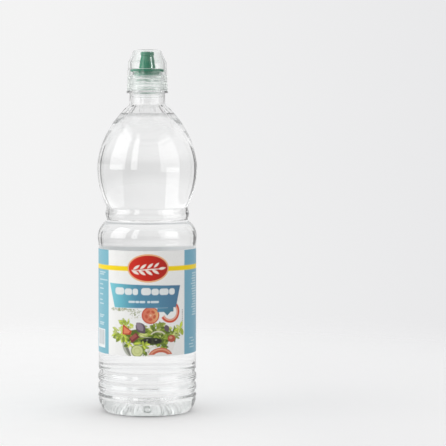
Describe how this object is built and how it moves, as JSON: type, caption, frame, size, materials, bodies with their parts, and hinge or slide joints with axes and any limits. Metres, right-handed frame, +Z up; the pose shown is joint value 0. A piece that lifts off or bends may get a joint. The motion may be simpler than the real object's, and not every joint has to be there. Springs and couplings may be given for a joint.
{
  "type": "vinegar bottle",
  "caption": "Clear plastic squeeze-waisted bottle of white vinegar with a wrap-round printed label, grooved foot, green pouring insert and clear screw cap.",
  "frame": {"origin": "on the bottle's axis, in the plane of its standing ring", "axes": "+Z up along the bottle's axis; -Y faces the label's front; +X to the right seen from the front"},
  "size_m": [0.0798, 0.0798, 0.2883],
  "materials": {
    "clear_bottle": "clear polished blow-moulded plastic",
    "vinegar": "clear colourless liquid",
    "label_film": "white printed film with a soft gloss",
    "green_plastic": "moulded green plastic, slightly see-through where thin",
    "clear_cap": "clear moulded plastic"
  },
  "bodies": {
    "root": {"bottle": "clear_bottle", "vinegar": "vinegar", "label": "label_film", "pourer": "green_plastic", "cap": "clear_cap"}
  },
  "joints": []
}
